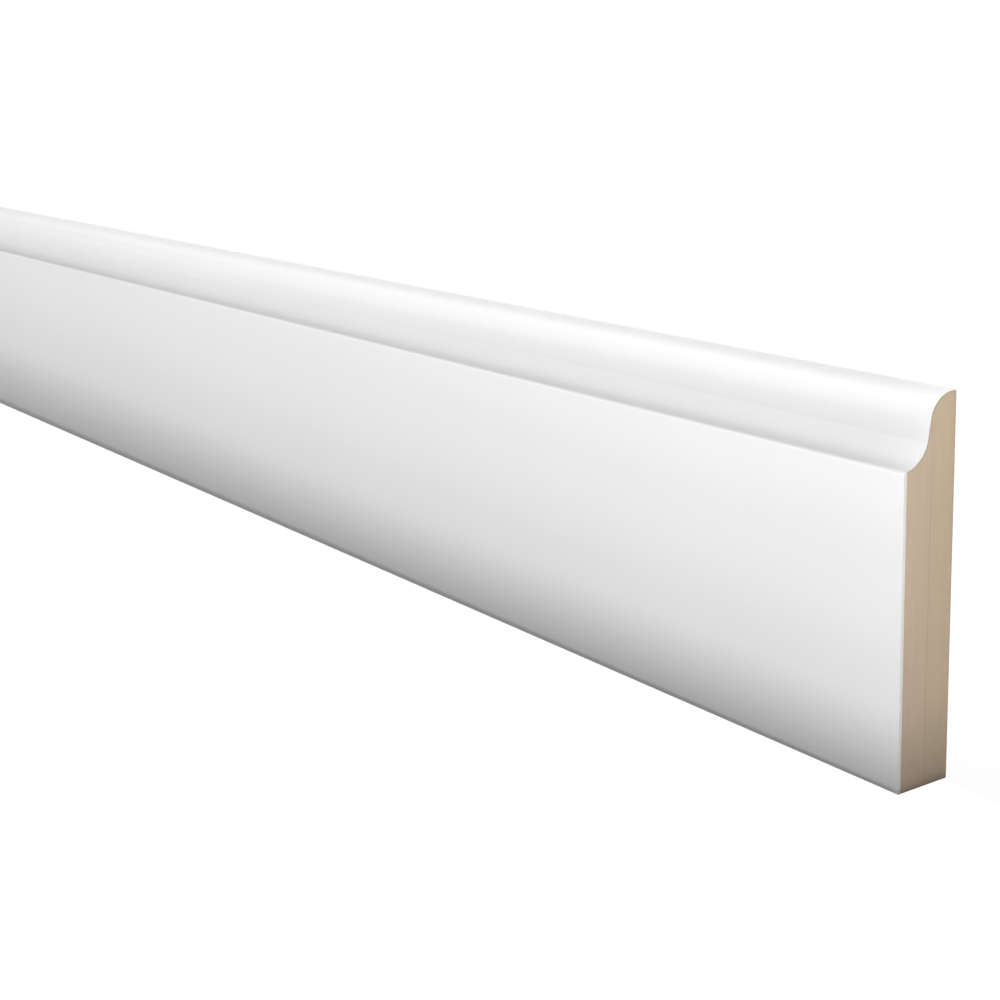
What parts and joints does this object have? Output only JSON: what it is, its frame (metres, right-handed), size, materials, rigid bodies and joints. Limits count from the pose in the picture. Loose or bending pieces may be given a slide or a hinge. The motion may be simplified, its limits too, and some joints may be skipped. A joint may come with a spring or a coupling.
{
  "type": "skirting board",
  "caption": "Straight length of white-faced fibreboard skirting with a plain face and an ogee along its top edge, square-cut ends and a flat back.",
  "frame": {"origin": "centre of the flat back, the face that goes against the wall", "axes": "+X along the length, +Y towards the moulded top edge, +Z out of the plain face; the back lies on Z = 0"},
  "size_m": [2.4, 0.119, 0.0205],
  "materials": {
    "board": "satin white paint on the face, the ogee and the top edge, bare tan fibreboard on the cut ends, the back and the floor edge"
  },
  "bodies": {
    "root": {"skirting_board": "board"}
  },
  "joints": []
}
